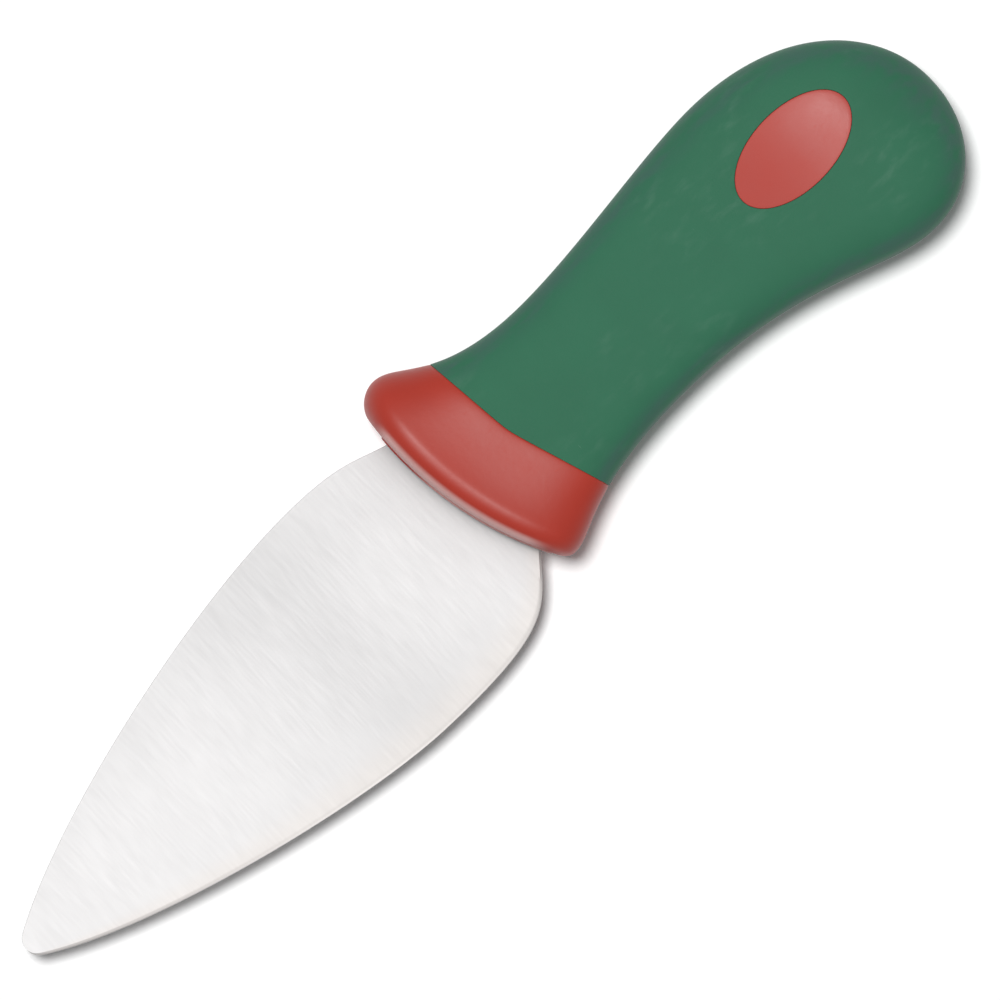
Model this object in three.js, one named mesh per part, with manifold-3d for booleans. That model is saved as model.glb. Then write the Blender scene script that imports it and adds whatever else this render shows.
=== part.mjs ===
// Cheese knife with a broad leaf blade and a two-colour moulded handle, lying on its side, in millimetres.
// It is drawn from the point where the handle's axis meets the face of the bolster: +X runs to the tip
// of the blade, +Y to its cutting edge, and +Z up from the middle of its thickness.
import * as THREE from "three";
import { mergeVertices } from "three/addons/utils/BufferGeometryUtils.js";
import Module from "manifold-3d";

const wasm = await Module();
wasm.setup();

// Gap between pieces that sit against each other
const CLEARANCE = 0.3;

// Blade in plan: widths from the axis, places from the bolster's face
const BLADE_LENGTH = 107.7;
const TIP_OFFSET = 7.7; // from the axis to the tip
const TIP_RADIUS = 3;
const TIP_ANGLE = 31; // degrees between the axis and either side where the tip's round begins
const TIP_FLAT = 0.5; // width of the blunt end
const SPINE_CROWN = 17.15;
const SPINE_CROWN_AT = 19.6;
const EDGE_CROWN = 29.5;
const EDGE_CROWN_AT = 27.5;
const ROOT_SPINE = 14; // where the spine enters the bolster
const ROOT_EDGE = 18.2; // where the heel enters the bolster
const ROOT_DEPTH = 7; // how far the leaf's full width runs on inside

// Blade in thickness
const SHEET_THICKNESS = 2.2; // of the tang, which is left unground
const SPINE_GRIND = 0.1; // ground off each face at the spine
const EDGE_THICKNESS = 0.4; // where the sharpened bevel begins
const TIP_THICKNESS = 0.8;
const CUTTING_EDGE = 0.1;
const BEVEL_WIDTH = 0.5;

// Tang: places from the bolster's face
const TANG_LAP = 3.5; // where the thicker strip begins on the leaf's root
const LOCK_HOLE_RADIUS = 3.2;
const LOCK_HOLE_FIRST = 27;
const LOCK_HOLE_PITCH = 19.5;
const LOCK_HOLE_END = 11; // least distance from a hole to the end of the tang

// Handle in plan: widths from the axis, places from the face or to the butt
const HANDLE_LENGTH = 112;
const BUTT_OFFSET = 4.5; // from the axis to the end of the butt
const BUTT_FLAT = 0.2; // depth cut off the end of the butt
const WAIST_SPINE = 15.75;
const WAIST_SPINE_AT = 31.2;
const WAIST_EDGE = 14.85;
const WAIST_EDGE_AT = 44.4;
const SWELL_SPINE = 20.9;
const SWELL_SPINE_TO_BUTT = 33.1;
const SWELL_EDGE = 23.9;
const SWELL_EDGE_TO_BUTT = 19.4;

// Handle in thickness: half thicknesses, places from the face or to the butt
const CREST_AT = 3.9;
const WAIST_HALF = 10.3;
const WAIST_HALF_AT = 42;
const SWELL_HALF = 12.5;
const SWELL_HALF_TO_BUTT = 17;
const SPINE_POWER = 3.4; // squareness of the section on the spine's side: 2 is an ellipse, more is squarer
const EDGE_POWER = 4.4; // and on the edge's side

// Bolster: its face and its seam with the grip are arcs, each square to the axis at its apex
const BOLSTER_LENGTH = 16.7;
const FACE_RADIUS = 66;
const FACE_APEX = -12;
const SEAM_RADIUS = 133;
const SEAM_APEX = -30;
const HORN_SPINE_AT = 4.6; // length of the rounded corner on the spine's side
const HORN_EDGE_AT = 1.4; // length of the rounded corner on the edge's side
const FACE_ROUND = 6.6; // height of the round from the face to the crest
const COLLAR_SPINE = 8.2; // from the core's nose to the horn on the spine's side
const COLLAR_EDGE = 2.7; // from the core's nose to the horn on the edge's side
const COLLAR_CHEEK = 7.9; // from the core's nose to the crest

// Core
const NOSE_WALL = 1.2; // beside the blade's root
const NOSE_ROOF = 3.2; // over the blade's root
const NOSE_LIP = 0.45; // how far the nose stands out of the bolster's face
const NOSE_POWER = 3.4;
const NOSE_END = 1.7; // behind the blade's root
const SHOULDER_LAP = 0.8; // how far the nose runs into the body
const GRIP_WALL = 3; // from the outside of the handle to the core's body
const CORE_WALL = 4.35; // beside the tang at the narrowest side of the waist
const TANG_END_WALL = 29; // from the tang's end to the core's end
const END_WALL = 5; // from the core's end to the butt
const GROOVES = 3;
const GROOVE_WIDTH = 4;
const GROOVE_DEPTH = 1.1;
const GROOVE_FIRST = 29;
const GROOVE_PITCH = 14;

// Badges
const BADGE_LENGTH = 25.1;
const BADGE_WIDTH = 14.3;
const BADGE_TURN = 3; // degrees
const BADGE_TO_BUTT = 26.6;
const BADGE_OFFSET = -3.35; // from the axis
const BADGE_THICKNESS = 3.6;
const BADGE_RECESS = 0.15; // below the grip's surface
const PEG_RADIUS = 1.5;
const PEG_LENGTH = 3.5;
const PEG_PITCH = 12;

// Fineness of the meshes
const HALF_RING = 16;
const STATIONS = 32;
const LAND_STEPS = 2;
const CURVE_STEPS = 14;
const ROUND_STEPS = 16;

// Values worked out from the sizes above
const noseSpine = ROOT_SPINE + CLEARANCE + NOSE_WALL;
const noseEdge = ROOT_EDGE + CLEARANCE + NOSE_WALL;
const noseHalf = SHEET_THICKNESS / 2 + CLEARANCE + NOSE_ROOF;
const noseLength = ROOT_DEPTH + CLEARANCE + NOSE_END;
const hornSpine = noseSpine + COLLAR_SPINE;
const hornEdge = noseEdge + COLLAR_EDGE;
const crestHalf = noseHalf + COLLAR_CHEEK;
const coreLength = HANDLE_LENGTH - END_WALL;
const tangLength = coreLength - TANG_END_WALL;
const tangHalf = Math.min(WAIST_SPINE, WAIST_EDGE) - GRIP_WALL - CORE_WALL;
const spineThickness = SHEET_THICKNESS - 2 * SPINE_GRIND;
const badgeAt = HANDLE_LENGTH - BADGE_TO_BUTT;
const badgeCentre = new THREE.Vector2(-badgeAt, BADGE_OFFSET);
const badgeTurn = THREE.MathUtils.degToRad(BADGE_TURN);

// Materials
const steel = new THREE.MeshStandardMaterial({ color: 0xdcdcda, roughness: 0.3, metalness: 1 });
const hardRed = new THREE.MeshStandardMaterial({ color: 0xa5382f, roughness: 0.45, metalness: 0 });
const glossRed = new THREE.MeshStandardMaterial({ color: 0xb4453d, roughness: 0.22, metalness: 0 });
const softGreen = new THREE.MeshStandardMaterial({ color: 0x3c725a, roughness: 0.75, metalness: 0 });
const badgeRed = new THREE.MeshStandardMaterial({ color: 0xbb554e, roughness: 0.2, metalness: 0 });

// A closed geometry as a solid that can be joined and cut, without the faces that merging collapses
function solid(geometry) {
  geometry.deleteAttribute("normal");
  geometry.deleteAttribute("uv");
  const merged = mergeVertices(geometry);
  const corners = merged.index.array;
  const kept = [];
  for (let i = 0; i < corners.length; i += 3) {
    const face = corners.slice(i, i + 3);
    if (new Set(face).size === 3) {
      kept.push(...face);
    }
  }
  const vertProperties = merged.attributes.position.array;
  return new wasm.Manifold(new wasm.Mesh({ numProp: 3, vertProperties, triVerts: new Uint32Array(kept) }));
}

// A solid as a named mesh
function piece(name, body, material) {
  const { vertProperties, triVerts } = body.getMesh();
  const geometry = new THREE.BufferGeometry();
  geometry.setAttribute("position", new THREE.BufferAttribute(vertProperties, 3));
  geometry.setIndex(new THREE.BufferAttribute(triVerts, 1));
  geometry.computeVertexNormals();
  const mesh = new THREE.Mesh(geometry, material);
  mesh.name = name;
  return mesh;
}

// A plan shape as a plate between two heights, in either order
function plate(shape, one, other) {
  const options = { depth: Math.abs(other - one), bevelEnabled: false, curveSegments: ROUND_STEPS };
  return solid(new THREE.ExtrudeGeometry(shape, options).translate(0, 0, Math.min(one, other)));
}

// A skin over rings of points. Each ring runs over the top and back underneath, with as many points below.
function loft(rings) {
  const count = rings[0].length;
  const faces = [];
  const quad = (a, b, c, d) => faces.push(a, b, c, a, c, d);
  for (let start = 0; start < (rings.length - 1) * count; start += count) {
    for (let i = 0; i < count; i += 1) {
      const next = (i + 1) % count;
      quad(start + i, start + next, start + count + next, start + count + i);
    }
  }
  const last = (rings.length - 1) * count;
  for (let i = 0; i < count / 2 - 1; i += 1) {
    const under = count - 1 - i;
    quad(i, under, under - 1, i + 1);
    quad(last + i, last + i + 1, last + under - 1, last + under);
  }
  const geometry = new THREE.BufferGeometry().setFromPoints(rings.flat());
  geometry.setIndex(faces);
  return solid(geometry);
}

// How far an arc, square to the axis at its apex, leads the point where it crosses the axis
function arcLead(radius, apex, y) {
  return Math.sqrt(radius ** 2 - (y - apex) ** 2) - Math.sqrt(radius ** 2 - apex ** 2);
}

// A point of the handle: its rings follow the bolster's arched face, and straighten towards the butt
function handlePoint(station, y, z) {
  const bow = arcLead(FACE_RADIUS, FACE_APEX, y) * (1 - station / HANDLE_LENGTH);
  return new THREE.Vector3(bow - station, y, z);
}

// A smooth stretch between two points of a profile. A level end leaves along the handle, any other
// across it, and its pull is the share of the way over which it keeps to that course.
function stretch(from, to, leave, reach) {
  const start = new THREE.Vector2(from.at, from.out);
  const end = new THREE.Vector2(to.at, to.out);
  const span = end.clone().sub(start);
  const along = (point, pull) => (point.level ? new THREE.Vector2(span.x * pull, 0)
    : new THREE.Vector2(0, span.y * pull));
  const first = start.clone().add(along(from, leave));
  const second = end.clone().sub(along(to, reach));
  return new THREE.CubicBezierCurve(start, first, second, end);
}

// The height of a profile of stretches at a station, found by halving
function heightAt(stretches, station) {
  const curve = stretches.find((item) => station <= item.v3.x) ?? stretches[stretches.length - 1];
  let low = 0;
  let high = 1;
  for (let step = 0; step < 40; step += 1) {
    const middle = (low + high) / 2;
    if (curve.getPoint(middle).x < station) {
      low = middle;
    } else {
      high = middle;
    }
  }
  return curve.getPoint(low).y;
}

// One side of the handle from the face over its crest, waist and swell to the butt
function sideProfile(face, crest, waist, swell, butt, pulls) {
  const between = [crest, waist, swell].map((point) => ({ ...point, level: true }));
  const points = [face, ...between, butt];
  return pulls.map(([leave, reach], i) => stretch(points[i], points[i + 1], leave, reach));
}

const spineProfile = sideProfile(
  { at: 0, out: hornSpine - HORN_SPINE_AT },
  { at: HORN_SPINE_AT, out: hornSpine },
  { at: WAIST_SPINE_AT, out: WAIST_SPINE },
  { at: HANDLE_LENGTH - SWELL_SPINE_TO_BUTT, out: SWELL_SPINE },
  { at: HANDLE_LENGTH, out: -BUTT_OFFSET },
  [[0.55, 0.55], [0.2, 0.67], [0.31, 0.25], [0.68, 0.47]],
);

const edgeProfile = sideProfile(
  { at: 0, out: hornEdge - HORN_EDGE_AT },
  { at: HORN_EDGE_AT, out: hornEdge },
  { at: WAIST_EDGE_AT, out: WAIST_EDGE },
  { at: HANDLE_LENGTH - SWELL_EDGE_TO_BUTT, out: SWELL_EDGE },
  { at: HANDLE_LENGTH, out: BUTT_OFFSET },
  [[0.55, 0.55], [0.14, 0.67], [0.55, 0.24], [0.62, 0.55]],
);

const cheekProfile = sideProfile(
  { at: 0, out: crestHalf - FACE_ROUND },
  { at: CREST_AT, out: crestHalf },
  { at: WAIST_HALF_AT, out: WAIST_HALF },
  { at: HANDLE_LENGTH - SWELL_HALF_TO_BUTT, out: SWELL_HALF },
  { at: HANDLE_LENGTH, out: 0 },
  [[0.55, 0.95], [0.04, 0.87], [0.4, 0.35], [0.6, 0.6]],
);

// A ring of the handle, between two sides and a half thickness, as a rounded oblong
function ovalRing(station, spine, edge, half, spinePower, edgePower = spinePower) {
  const middle = (edge - spine) / 2;
  const reach = (edge + spine) / 2;
  const upper = [];
  for (let i = 0; i < HALF_RING; i += 1) {
    const turn = (Math.PI * (i + 0.5)) / HALF_RING;
    const power = Math.cos(turn) > 0 ? spinePower : edgePower;
    const across = Math.sign(Math.cos(turn)) * Math.abs(Math.cos(turn)) ** (2 / power);
    const up = Math.sin(turn) ** (2 / power);
    upper.push(handlePoint(station, middle - reach * across, half * up));
  }
  const lower = upper.map((point) => new THREE.Vector3(point.x, point.y, -point.z)).reverse();
  return [...upper, ...lower];
}

// A ring set in from the outside of the handle by a wall
function handleRing(station, wall) {
  const place = Math.min(station, HANDLE_LENGTH - BUTT_FLAT);
  const spine = heightAt(spineProfile, place) - wall;
  const edge = heightAt(edgeProfile, place) - wall;
  const half = heightAt(cheekProfile, place) - wall;
  return ovalRing(station, spine, edge, half, SPINE_POWER, EDGE_POWER);
}

// Stations between two places, closer together towards both
function spread(from, to, count) {
  const stations = [];
  for (let i = 0; i <= count; i += 1) {
    stations.push(from + ((to - from) * (1 - Math.cos((Math.PI * i) / count))) / 2);
  }
  return stations;
}

// The outside of the whole handle, set in by a wall
function handleBody(wall) {
  return loft(spread(0, HANDLE_LENGTH, STATIONS).map((station) => handleRing(station, wall)));
}

// Everything behind the seam of bolster and grip, moved forward by a gap
function behindSeam(gap) {
  const radius = SEAM_RADIUS + gap;
  const reach = 2 * (hornSpine + SWELL_EDGE);
  const centreX = -BOLSTER_LENGTH - Math.sqrt(SEAM_RADIUS ** 2 - SEAM_APEX ** 2);
  const sweep = Math.asin(reach / radius);
  const shape = new THREE.Shape();
  shape.absarc(centreX, SEAM_APEX, radius, -sweep, sweep, false);
  shape.lineTo(-2 * HANDLE_LENGTH, SEAM_APEX + reach);
  shape.lineTo(-2 * HANDLE_LENGTH, SEAM_APEX - reach);
  return plate(shape, -2 * crestHalf, 2 * crestHalf);
}

// Half of the thickness of the leaf at a point: its ground face is one plane through three thicknesses
function leafHalf(point) {
  const fall = (spineThickness - EDGE_THICKNESS) / (SPINE_CROWN + EDGE_CROWN - BEVEL_WIDTH);
  const atAxis = spineThickness - fall * SPINE_CROWN;
  const taper = (atAxis - fall * TIP_OFFSET - TIP_THICKNESS) / BLADE_LENGTH;
  return (atAxis - fall * point.y - taper * point.x) / 2;
}

// One side of the leaf from inside the bolster to the tip. Side is -1 for the spine and 1 for the edge.
function leafSide(side, root, crown, crownAt, pulls) {
  const angle = THREE.MathUtils.degToRad(TIP_ANGLE);
  const faceX = arcLead(FACE_RADIUS, FACE_APEX, side * root);
  const mouthX = faceX + NOSE_LIP + CLEARANCE;
  const rise = crown - root;
  const run = crownAt - mouthX;
  const tipX = BLADE_LENGTH - TIP_RADIUS;
  const roundX = tipX + TIP_RADIUS * Math.sin(angle);
  const roundY = TIP_OFFSET + side * TIP_RADIUS * Math.cos(angle);
  const path = new THREE.Path();
  path.moveTo(faceX - ROOT_DEPTH, side * root);
  path.lineTo(mouthX, side * root);
  path.bezierCurveTo(
    mouthX + run * pulls.rootRun, side * (root + rise * pulls.rootRise),
    crownAt - run * pulls.crownBack, side * crown,
    crownAt, side * crown,
  );
  const reach = (roundX - crownAt) * pulls.crownAhead;
  const back = (roundX - crownAt) * pulls.tipBack;
  path.bezierCurveTo(
    crownAt + reach, side * crown,
    roundX - back * Math.cos(angle), roundY + side * back * Math.sin(angle),
    roundX, roundY,
  );
  const blunt = Math.asin(TIP_FLAT / 2 / TIP_RADIUS);
  path.absarc(tipX, TIP_OFFSET, TIP_RADIUS, side * (Math.PI / 2 - angle), side * blunt, side > 0);
  return path.getPoints(CURVE_STEPS);
}

// The inner line of the sharpened bevel, which narrows where the sides meet at the tip
function bevelLine(spine, edge) {
  return edge.map((point, i) => {
    const across = spine[i].clone().sub(point);
    return point.clone().add(across.clone().setLength(Math.min(BEVEL_WIDTH, across.length() / 2)));
  });
}

// The leaf: two ground faces with a bevel on each side of the cutting edge
function leaf() {
  const spine = leafSide(-1, ROOT_SPINE, SPINE_CROWN, SPINE_CROWN_AT,
    { rootRun: 0.32, rootRise: 0.52, crownBack: 0.54, crownAhead: 0.29, tipBack: 0.24 });
  const edge = leafSide(1, ROOT_EDGE, EDGE_CROWN, EDGE_CROWN_AT,
    { rootRun: 0.19, rootRise: 0.63, crownBack: 0.8, crownAhead: 0.25, tipBack: 0.25 });
  const bevel = bevelLine(spine, edge);
  const rings = spine.map((point, i) => {
    const upper = [
      new THREE.Vector3(point.x, point.y, leafHalf(point)),
      new THREE.Vector3(bevel[i].x, bevel[i].y, leafHalf(bevel[i])),
      new THREE.Vector3(edge[i].x, edge[i].y, CUTTING_EDGE / 2),
    ];
    const lower = upper.map((item) => new THREE.Vector3(item.x, item.y, -item.z)).reverse();
    return [...upper, ...lower];
  });
  return loft(rings.reverse());
}

// The tang's strip with its rounded end, grown all round by a gap and cut by lock holes
function tang(gap) {
  const half = tangHalf + gap;
  const roundX = tangHalf - tangLength;
  const shape = new THREE.Shape();
  shape.moveTo(gap - TANG_LAP, half);
  shape.lineTo(roundX, half);
  shape.absarc(roundX, 0, half, Math.PI / 2, 1.5 * Math.PI, false);
  shape.lineTo(gap - TANG_LAP, -half);
  for (let place = LOCK_HOLE_FIRST; place <= tangLength - LOCK_HOLE_END; place += LOCK_HOLE_PITCH) {
    shape.holes.push(new THREE.Path().absarc(-place, 0, LOCK_HOLE_RADIUS - gap, 0, 2 * Math.PI, true));
  }
  const thick = SHEET_THICKNESS / 2 + gap;
  return plate(shape, -thick, thick);
}

// The space that the root of the leaf takes up in the core's nose
function rootSlot() {
  const spineX = arcLead(FACE_RADIUS, FACE_APEX, -ROOT_SPINE) - ROOT_DEPTH - CLEARANCE;
  const edgeX = arcLead(FACE_RADIUS, FACE_APEX, ROOT_EDGE) - ROOT_DEPTH - CLEARANCE;
  const front = BLADE_LENGTH / 2;
  const shape = new THREE.Shape();
  shape.moveTo(front, -ROOT_SPINE - CLEARANCE);
  shape.lineTo(front, ROOT_EDGE + CLEARANCE);
  shape.lineTo(edgeX, ROOT_EDGE + CLEARANCE);
  shape.lineTo(spineX, -ROOT_SPINE - CLEARANCE);
  const thick = SHEET_THICKNESS / 2 + CLEARANCE;
  return plate(shape, -thick, thick);
}

// The core's nose grown by a gap: a flat oval through the bolster, with a rounded lip in front of its face
function noseBody(gap) {
  const ring = (station, trim) => ovalRing(station, noseSpine + gap - trim, noseEdge + gap - trim,
    noseHalf + gap - trim, NOSE_POWER);
  return loft([
    ring(-NOSE_LIP - gap, NOSE_LIP / 2),
    ring(-NOSE_LIP / 2 - gap, 0),
    ring(noseLength + gap, 0),
  ]);
}

// The core's body grown by a gap: a grooved filling for the grip and the bolster's skirt
function gripCore(gap) {
  const wall = GRIP_WALL - gap;
  const start = noseLength - SHOULDER_LAP - gap;
  const rings = [handleRing(start, wall)];
  const smooth = (from, to, count) => {
    const stations = spread(from, to, count).slice(1);
    rings.push(...stations.map((station) => handleRing(station, wall)));
  };
  let from = start;
  for (let i = 0; i < GROOVES; i += 1) {
    const near = GROOVE_FIRST + i * GROOVE_PITCH + gap;
    const far = near + GROOVE_WIDTH - 2 * gap;
    smooth(from, near, LAND_STEPS);
    rings.push(handleRing(near, wall + GROOVE_DEPTH));
    rings.push(handleRing(far, wall + GROOVE_DEPTH));
    rings.push(handleRing(far, wall));
    from = far;
  }
  smooth(from, coreLength + gap, 4 * LAND_STEPS);
  return loft(rings);
}

// The outside of the whole core grown by a gap
function coreBody(gap) {
  return noseBody(gap).add(gripCore(gap));
}

// The badge's oval grown by a gap
function badgeOval(gap) {
  const shape = new THREE.Shape();
  shape.absellipse(badgeCentre.x, badgeCentre.y, BADGE_LENGTH / 2 + gap, BADGE_WIDTH / 2 + gap,
    0, 2 * Math.PI, false, badgeTurn);
  return shape;
}

// Height of the badge's seat over the middle of the blade
function badgeSeat() {
  return heightAt(cheekProfile, badgeAt) - BADGE_THICKNESS;
}

// The space of one badge grown by a gap: its oval plug and two pegs below it.
// Cheek is 1 for the upper side of the handle and -1 for the lower.
function badgeBody(gap, cheek) {
  const seat = badgeSeat() - gap;
  let body = plate(badgeOval(gap), cheek * seat, cheek * 2 * SWELL_HALF);
  for (const end of [-1, 1]) {
    const middle = new THREE.Vector2(badgeCentre.x + (end * PEG_PITCH) / 2, badgeCentre.y);
    middle.rotateAround(badgeCentre, badgeTurn);
    const peg = new THREE.Shape();
    peg.absarc(middle.x, middle.y, PEG_RADIUS + gap, 0, 2 * Math.PI, false);
    body = body.add(plate(peg, cheek * (seat - PEG_LENGTH), cheek * (seat + BADGE_THICKNESS / 2)));
  }
  return body;
}

// The steel: the leaf and its tang in one
function makeBlade() {
  return piece("blade", leaf().add(tang(0)), steel);
}

// The hard body that holds the blade, with a slot for its root and tang and a seat for each badge
function makeCore() {
  const body = coreBody(0)
    .subtract(tang(CLEARANCE))
    .subtract(rootSlot())
    .subtract(badgeBody(CLEARANCE, 1))
    .subtract(badgeBody(CLEARANCE, -1));
  return piece("core", body, hardRed);
}

// The flared collar over the core's nose
function makeBolster() {
  const body = handleBody(0)
    .subtract(behindSeam(CLEARANCE))
    .subtract(coreBody(CLEARANCE));
  return piece("bolster", body, glossRed);
}

// The soft sleeve over the core's body, with a window for each badge
function makeGrip() {
  const body = handleBody(0)
    .intersect(behindSeam(0))
    .subtract(coreBody(CLEARANCE))
    .subtract(badgeBody(CLEARANCE, 1))
    .subtract(badgeBody(CLEARANCE, -1));
  return piece("grip", body, softGreen);
}

// One oval inlay, its face following the handle's
function makeBadge(name, cheek) {
  const body = badgeBody(0, cheek).intersect(handleBody(BADGE_RECESS));
  return piece(name, body, badgeRed);
}

// The knife, moved so that the middle of its underside is the origin
const knife = new THREE.Group();
knife.add(makeBlade(), makeCore(), makeBolster(), makeGrip());
knife.add(makeBadge("badge_front", 1), makeBadge("badge_back", -1));
const bounds = new THREE.Box3().setFromObject(knife);
const centre = bounds.getCenter(new THREE.Vector3());
knife.position.set(-centre.x, -centre.y, -bounds.min.z);

export default knife;
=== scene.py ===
"""Cheese knife: a satin leaf blade, a red bolster, and a soft green grip with an oval badge on each side.

The packed model is the frame, in metres. Every piece is drawn from the point where the handle's axis meets
the bolster's face: +X runs to the tip of the blade, +Y to its cutting edge, and +Z up from its middle.
A station is a place along the handle, counted back from the bolster's face.
"""
import math

import bmesh
import bpy
import numpy as np
from mathutils import Euler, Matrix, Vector


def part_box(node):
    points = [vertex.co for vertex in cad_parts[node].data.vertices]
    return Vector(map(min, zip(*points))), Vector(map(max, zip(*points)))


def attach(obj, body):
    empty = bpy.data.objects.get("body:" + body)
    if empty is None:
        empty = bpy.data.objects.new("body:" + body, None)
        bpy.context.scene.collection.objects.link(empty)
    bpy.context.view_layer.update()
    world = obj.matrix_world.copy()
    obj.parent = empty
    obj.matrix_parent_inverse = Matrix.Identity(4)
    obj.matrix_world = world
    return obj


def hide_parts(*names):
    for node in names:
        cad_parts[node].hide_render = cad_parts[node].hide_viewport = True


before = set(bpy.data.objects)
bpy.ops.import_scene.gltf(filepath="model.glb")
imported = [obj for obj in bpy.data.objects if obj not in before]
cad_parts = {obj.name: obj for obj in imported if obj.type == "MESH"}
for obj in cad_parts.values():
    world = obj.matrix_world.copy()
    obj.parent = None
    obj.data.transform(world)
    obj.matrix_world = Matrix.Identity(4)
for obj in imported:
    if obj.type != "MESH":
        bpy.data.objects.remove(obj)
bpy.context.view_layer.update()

bl_info = {
    "name": "Cheese Knife",
    "version": (1, 0, 0),
    "blender": (4, 5, 0),
    "location": "View3D > Sidebar > Knife",
    "description": "Builds a cheese knife with a leaf blade and a two-colour handle around its packed model",
    "category": "Object",
}

MM = 0.001

# Places in the frame
BLADE_LENGTH = 107.7
EDGE_CROWN = 29.5
blade_low, blade_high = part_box("blade")
grip_low, grip_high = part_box("grip")
bolster_low, bolster_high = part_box("bolster")
DATUM = Vector((
    blade_high.x - BLADE_LENGTH * MM,
    blade_high.y - EDGE_CROWN * MM,
    (blade_low.z + blade_high.z) / 2,
))
HANDLE_LENGTH = (DATUM.x - grip_low.x) / MM
HORN_SPINE = (DATUM.y - bolster_low.y) / MM
HORN_EDGE = (bolster_high.y - DATUM.y) / MM
SWELL_SPINE = (DATUM.y - grip_low.y) / MM
SWELL_EDGE = (grip_high.y - DATUM.y) / MM
CREST_HALF = (bolster_high.z - bolster_low.z) / 2 / MM
SLACK = 0.002  # by which the smooth grip stays inside the faceted one's box
SWELL_HALF = (grip_high.z - grip_low.z) / 2 / MM - SLACK

# Shares of each stretch of the handle's outline over which it leaves and reaches its ends
SPINE_PULLS = ((0.55, 0.55), (0.2, 0.67), (0.31, 0.25), (0.68, 0.47))
EDGE_PULLS = ((0.55, 0.55), (0.14, 0.67), (0.55, 0.24), (0.62, 0.55))
CHEEK_PULLS = ((0.55, 0.95), (0.04, 0.87), (0.4, 0.35), (0.6, 0.6))
# Shares by which each side of the leaf runs on and rises at its root, runs back from its crown
# and ahead of it, and runs back from the tip
LEAF_SPINE_PULLS = (0.32, 0.52, 0.54, 0.29, 0.24)
LEAF_EDGE_PULLS = (0.19, 0.63, 0.8, 0.25, 0.25)
# Squareness of a section on the spine's and on the edge's side: 2 is an ellipse
HANDLE_POWERS = (3.4, 4.4)
NOSE_POWERS = (3.4, 3.4)

# Fineness of the meshes
PROFILE_STEPS = 400
RING_POINTS = 132
GRIP_RINGS = 104
BOLSTER_RINGS = 40
ROUND_STEPS = 5
ROOT_STEPS = 44
LEAF_STEPS = 110
TIP_STEPS = 12
FACE_COLUMNS = 14
OVAL_POINTS = 112
OVAL_RINGS = 18
HOLE_POINTS = 32
SHARP_ANGLE = math.radians(34)


def length(name, description, millimetres):
    """A size in the sidebar, written here in millimetres."""
    return bpy.props.FloatProperty(
        name=name, description=description, default=millimetres * MM,
        precision=5, subtype="DISTANCE", unit="LENGTH",
    )


def angle(name, description, degrees):
    """An angle in the sidebar, written here in degrees."""
    return bpy.props.FloatProperty(
        name=name, description=description, default=math.radians(degrees),
        subtype="ANGLE", unit="ROTATION",
    )


def share(name, description, default):
    """A share from 0 to 1 in the sidebar."""
    return bpy.props.FloatProperty(
        name=name, description=description, default=default, min=0, max=1, subtype="FACTOR",
    )


def level(name, description, default):
    """A plain number in the sidebar."""
    return bpy.props.FloatProperty(name=name, description=description, default=default, min=0)


def colour(name, description, red, green, blue):
    """A colour in the sidebar, written here as display values from 0 to 255."""
    shown = np.array((red, green, blue)) / 255
    linear = np.where(shown <= 0.04045, shown / 12.92, ((shown + 0.055) / 1.055) ** 2.4)
    return bpy.props.FloatVectorProperty(
        name=name, description=description, default=linear.tolist(), size=3, min=0, max=1, subtype="COLOR",
    )


class KnifeBladeSizes(bpy.types.PropertyGroup):
    """Sizes of the blade and its tang"""

    reach: length("Length", "From the face to the tip", BLADE_LENGTH)
    tip_offset: length("Tip offset", "From the axis to the tip", 7.7)
    tip_radius: length("Tip radius", "Round of the tip in plan", 3)
    tip_angle: angle("Tip angle", "Between the axis and either side where the tip's round begins", 31)
    tip_flat: length("Tip flat", "Width of the blunt end", 0.5)
    spine_crown: length("Spine crown", "From the axis to the highest place of the spine", 17.15)
    spine_crown_at: length("Spine crown place", "From the face to the spine's crown", 19.6)
    edge_crown: length("Edge crown", "From the axis to the lowest place of the edge", EDGE_CROWN)
    edge_crown_at: length("Edge crown place", "From the face to the edge's crown", 27.5)
    root_spine: length("Root spine", "From the axis to where the spine enters the bolster", 14)
    root_edge: length("Root edge", "From the axis to where the heel enters the bolster", 18.2)
    root_depth: length("Root depth", "How far the full width runs on inside", 7)
    sheet: length("Sheet thickness", "Thickness of the unground tang", 2.2)
    spine_thickness: length("Spine thickness", "Thickness of the ground spine", 2)
    edge_thickness: length("Edge thickness", "Thickness where the bevel begins", 0.4)
    tip_thickness: length("Tip thickness", "Thickness at the tip", 0.8)
    cutting_edge: length("Cutting edge", "Thickness of the edge itself", 0.1)
    bevel: length("Bevel width", "Width of the sharpened bevel", 0.5)
    spine_round: length("Spine round", "Rounded corner along the spine", 0.12)
    tang_lap: length("Tang lap", "Where the thicker tang begins inside the bolster", 3.5)
    tang_reach: length("Tang length", "From the face to the end of the tang", 78)
    tang_half: length("Tang half width", "Half of the tang's width", 7.5)
    hole_radius: length("Lock hole radius", "Radius of the holes in the tang", 3.2)
    hole_first: length("First lock hole", "From the face to the first hole", 27)
    hole_pitch: length("Lock hole pitch", "From one hole to the next", 19.5)


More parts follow.
